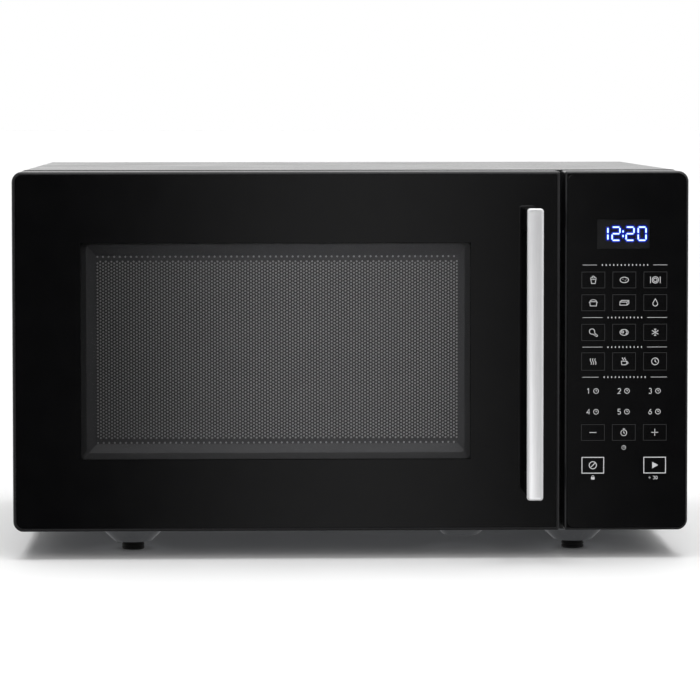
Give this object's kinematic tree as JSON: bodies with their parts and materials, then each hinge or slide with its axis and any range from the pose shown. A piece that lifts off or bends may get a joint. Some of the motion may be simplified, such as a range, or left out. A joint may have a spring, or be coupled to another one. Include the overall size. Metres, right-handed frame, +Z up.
{
  "type": "microwave oven",
  "caption": "Black countertop microwave oven with a side-hinged glass door, vertical bar handle, right-hand touch panel and a glass turntable.",
  "frame": {"origin": "on the ground, in the middle of the outline", "axes": "front faces -Y, +X to the right when facing the door, +Z up"},
  "size_m": [0.486, 0.397, 0.28],
  "materials": {
    "casing_paint": "semi-gloss black stove enamel",
    "cavity_enamel": "smooth grey enamel",
    "zinc_steel": "zinc-coated sheet steel, fine spangle",
    "frame_plastic": "black, fine satin",
    "black_glass": "dark tinted, polished",
    "fascia_gloss": "polished black with printed legends",
    "black_matt": "matt black",
    "screen_black": "thin dark enamel over perforated steel",
    "clear_sheet": "clear film",
    "handle_silver": "satin silver, fine vertical grain",
    "tray_glass": "clear pressed glass",
    "pale_plastic": "natural acetal",
    "switch_plastic": "dark phenolic",
    "foot_rubber": "black, matt",
    "display_face": "dark smoked window with blue-white digits",
    "circuit_board": "green lacquer",
    "motor_steel": "plain laminated steel",
    "copper_wire": "lacquered copper windings",
    "fin_aluminium": "mill finish",
    "mica": "pressed mica sheet",
    "lamp_glass": "clear bulb"
  },
  "bodies": {
    "cabinet": {"outer_casing": "casing_paint", "base_plate": "zinc_steel", "rear_panel": "zinc_steel", "rear_screws": "zinc_steel", "cord_gland": "switch_plastic", "front_plate": "cavity_enamel", "cavity_liner": "cavity_enamel", "upper_hinge": "zinc_steel", "lower_hinge": "zinc_steel", "foot_front_left": "foot_rubber", "foot_front_right": "foot_rubber", "foot_rear_left": "foot_rubber", "foot_rear_right": "foot_rubber", "control_housing": "frame_plastic", "control_fascia": "fascia_gloss", "keypad_membrane": "black_matt", "display_module": "display_face", "control_board": "circuit_board", "board_parts": "circuit_board", "interlock_bracket": "switch_plastic", "upper_switch": "switch_plastic", "lower_switch": "switch_plastic", "turntable_motor": "motor_steel", "waveguide": "zinc_steel", "waveguide_cover": "mica", "magnetron_yoke": "zinc_steel", "magnetron_fins": "fin_aluminium", "transformer_core": "motor_steel", "transformer_coils": "copper_wire", "capacitor": "fin_aluminium", "capacitor_clamp": "zinc_steel", "fan_shroud": "switch_plastic", "fan_motor": "motor_steel", "fan_bracket": "zinc_steel", "lamp_holder": "switch_plastic", "cavity_lamp": "lamp_glass", "thermal_cutout": "switch_plastic", "line_filter": "circuit_board"},
    "door": {"door_frame": "frame_plastic", "door_glass": "black_glass", "window_mask": "black_matt", "screen_pan": "screen_black", "inner_window": "clear_sheet", "choke_cover": "black_matt", "handle_grip": "handle_silver", "handle_core": "black_matt", "handle_screws": "zinc_steel", "hinge_pins": "zinc_steel", "latch_spring": "zinc_steel"},
    "latch": {"door_latch": "pale_plastic"},
    "tray": {"glass_tray": "tray_glass", "drive_coupler": "pale_plastic"},
    "ring": {"roller_ring": "pale_plastic"},
    "roller_1": {"roller_1": "pale_plastic"},
    "roller_2": {"roller_2": "pale_plastic"},
    "roller_3": {"roller_3": "pale_plastic"},
    "fan": {"fan_blade": "pale_plastic"},
    "upper_plunger": {"upper_plunger": "pale_plastic"},
    "lower_plunger": {"lower_plunger": "pale_plastic"}
  },
  "joints": [
    {"name": "door_swing", "type": "hinge", "parent": "cabinet", "child": "door", "pos_m": [-0.235, -0.1415, 0.15], "axis": [0, 0, -1], "range_deg": [0, 100]},
    {"name": "latch_lift", "type": "slide", "parent": "door", "child": "latch", "axis": [0, 0, 1], "range_m": [0, 0.004], "stiffness_N_per_m": 300, "springref_m": -0.003, "deforming": ["latch_spring"]},
    {"name": "tray_spin", "type": "hinge", "parent": "cabinet", "child": "tray", "pos_m": [-0.052, 0.0242, 0.06], "axis": [0, 0, 1], "continuous": true},
    {"name": "ring_spin", "type": "hinge", "parent": "cabinet", "child": "ring", "pos_m": [-0.052, 0.0242, 0.057], "axis": [0, 0, 1], "continuous": true},
    {"name": "fan_spin", "type": "hinge", "parent": "cabinet", "child": "fan", "pos_m": [0.18, 0.17, 0.19], "axis": [0, 1, 0], "continuous": true},
    {"name": "upper_plunger_press", "type": "slide", "parent": "cabinet", "child": "upper_plunger", "axis": [0, 1, 0], "range_m": [0, 0.0012], "stiffness_N_per_m": 150, "springref_m": -0.001},
    {"name": "lower_plunger_press", "type": "slide", "parent": "cabinet", "child": "lower_plunger", "axis": [0, 1, 0], "range_m": [0, 0.0012], "stiffness_N_per_m": 150, "springref_m": -0.001},
    {"name": "roller_1_spin", "type": "hinge", "parent": "ring", "child": "roller_1", "pos_m": [-0.052, 0.1123, 0.05735], "axis": [0, 1, 0], "continuous": true},
    {"name": "roller_2_spin", "type": "hinge", "parent": "ring", "child": "roller_2", "pos_m": [-0.1283, -0.01985, 0.05735], "axis": [-0.866, -0.5, 0], "continuous": true},
    {"name": "roller_3_spin", "type": "hinge", "parent": "ring", "child": "roller_3", "pos_m": [0.0243, -0.01985, 0.05735], "axis": [0.866, -0.5, 0], "continuous": true}
  ],
  "couplings": [
    {"joint": "ring_spin", "follows": "tray_spin", "ratio": 0.5},
    {"joint": "roller_1_spin", "follows": "tray_spin", "ratio": -6.293},
    {"joint": "roller_2_spin", "follows": "tray_spin", "ratio": -6.293},
    {"joint": "roller_3_spin", "follows": "tray_spin", "ratio": -6.293}
  ]
}
